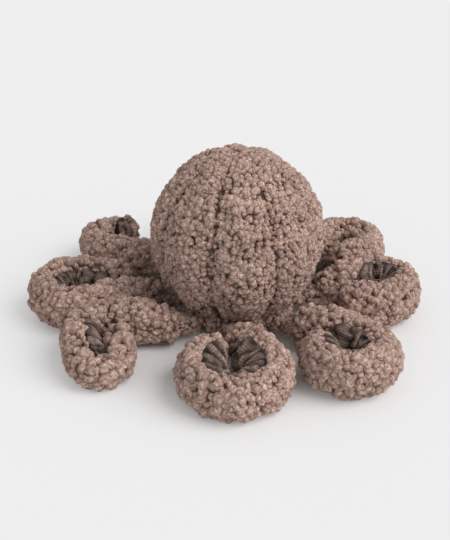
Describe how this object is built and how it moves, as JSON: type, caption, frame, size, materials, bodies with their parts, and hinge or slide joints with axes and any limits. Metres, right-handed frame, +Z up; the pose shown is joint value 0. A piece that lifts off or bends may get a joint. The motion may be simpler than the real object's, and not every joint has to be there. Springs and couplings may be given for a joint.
{
  "type": "plush octopus dog toy",
  "caption": "Stuffed dog toy with a round panelled head and curled arms in looped pile; the inner side of each curl is a gathered, ribbed lining, and a squeaker sits in the head.",
  "frame": {"origin": "middle of the flat base panel, on the floor", "axes": "+Z up through the crown; -Y towards the front arm; +X to the right seen from the front"},
  "size_m": [0.2906, 0.2894, 0.1319],
  "materials": {
    "boucle_pile": "curly looped pile, matt",
    "ribbed_lining": "ribbed velour, gathered",
    "fibre_filling": "loose polyester fibre",
    "seam_tape": "woven tape",
    "thread": "twisted thread",
    "elastic": "flat knitted elastic",
    "squeaker_plastic": "soft blown plastic"
  },
  "bodies": {
    "head": {"head_panel_1": "boucle_pile", "head_panel_2": "boucle_pile", "head_panel_3": "boucle_pile", "head_panel_4": "boucle_pile", "head_panel_5": "boucle_pile", "head_panel_6": "boucle_pile", "head_panel_7": "boucle_pile", "head_panel_8": "boucle_pile", "base_panel": "boucle_pile", "base_seam_band": "seam_tape", "head_seam_thread": "thread", "head_filling_upper": "fibre_filling", "head_filling_lower": "fibre_filling", "squeaker_bladder": "squeaker_plastic", "squeaker_reed": "squeaker_plastic"},
    "arm_front": {"arm_front_cover": "boucle_pile", "arm_front_lining": "ribbed_lining", "arm_front_filling": "fibre_filling", "arm_front_elastic": "elastic"},
    "arm_front_right": {"arm_front_right_cover": "boucle_pile", "arm_front_right_lining": "ribbed_lining", "arm_front_right_filling": "fibre_filling", "arm_front_right_elastic": "elastic"},
    "arm_right": {"arm_right_cover": "boucle_pile", "arm_right_lining": "ribbed_lining", "arm_right_filling": "fibre_filling", "arm_right_elastic": "elastic"},
    "arm_back_right": {"arm_back_right_cover": "boucle_pile", "arm_back_right_lining": "ribbed_lining", "arm_back_right_filling": "fibre_filling", "arm_back_right_elastic": "elastic"},
    "arm_back": {"arm_back_cover": "boucle_pile", "arm_back_lining": "ribbed_lining", "arm_back_filling": "fibre_filling", "arm_back_elastic": "elastic"},
    "arm_back_left": {"arm_back_left_cover": "boucle_pile", "arm_back_left_lining": "ribbed_lining", "arm_back_left_filling": "fibre_filling", "arm_back_left_elastic": "elastic"},
    "arm_left": {"arm_left_cover": "boucle_pile", "arm_left_lining": "ribbed_lining", "arm_left_filling": "fibre_filling", "arm_left_elastic": "elastic"},
    "arm_front_left": {"arm_front_left_cover": "boucle_pile", "arm_front_left_lining": "ribbed_lining", "arm_front_left_filling": "fibre_filling", "arm_front_left_elastic": "elastic"}
  },
  "joints": [
    {"name": "arm_front_lift", "type": "hinge", "parent": "head", "child": "arm_front", "pos_m": [0, -0.0484, 0.0115], "axis": [-1, 0, 0], "range_deg": [-28, 16]},
    {"name": "arm_front_right_lift", "type": "hinge", "parent": "head", "child": "arm_front_right", "pos_m": [0.03422, -0.03422, 0.0115], "axis": [-0.7071, -0.7071, 0], "range_deg": [-28, 16]},
    {"name": "arm_right_lift", "type": "hinge", "parent": "head", "child": "arm_right", "pos_m": [0.0484, 0, 0.0115], "axis": [0, -1, 0], "range_deg": [-28, 16]},
    {"name": "arm_back_right_lift", "type": "hinge", "parent": "head", "child": "arm_back_right", "pos_m": [0.03422, 0.03422, 0.0115], "axis": [0.7071, -0.7071, 0], "range_deg": [-28, 16]},
    {"name": "arm_back_lift", "type": "hinge", "parent": "head", "child": "arm_back", "pos_m": [0, 0.0484, 0.0115], "axis": [1, 0, 0], "range_deg": [-28, 16]},
    {"name": "arm_back_left_lift", "type": "hinge", "parent": "head", "child": "arm_back_left", "pos_m": [-0.03422, 0.03422, 0.0115], "axis": [0.7071, 0.7071, 0], "range_deg": [-28, 16]},
    {"name": "arm_left_lift", "type": "hinge", "parent": "head", "child": "arm_left", "pos_m": [-0.0484, 0, 0.0115], "axis": [0, 1, 0], "range_deg": [-28, 16]},
    {"name": "arm_front_left_lift", "type": "hinge", "parent": "head", "child": "arm_front_left", "pos_m": [-0.03422, -0.03422, 0.0115], "axis": [-0.7071, 0.7071, 0], "range_deg": [-28, 16]}
  ]
}
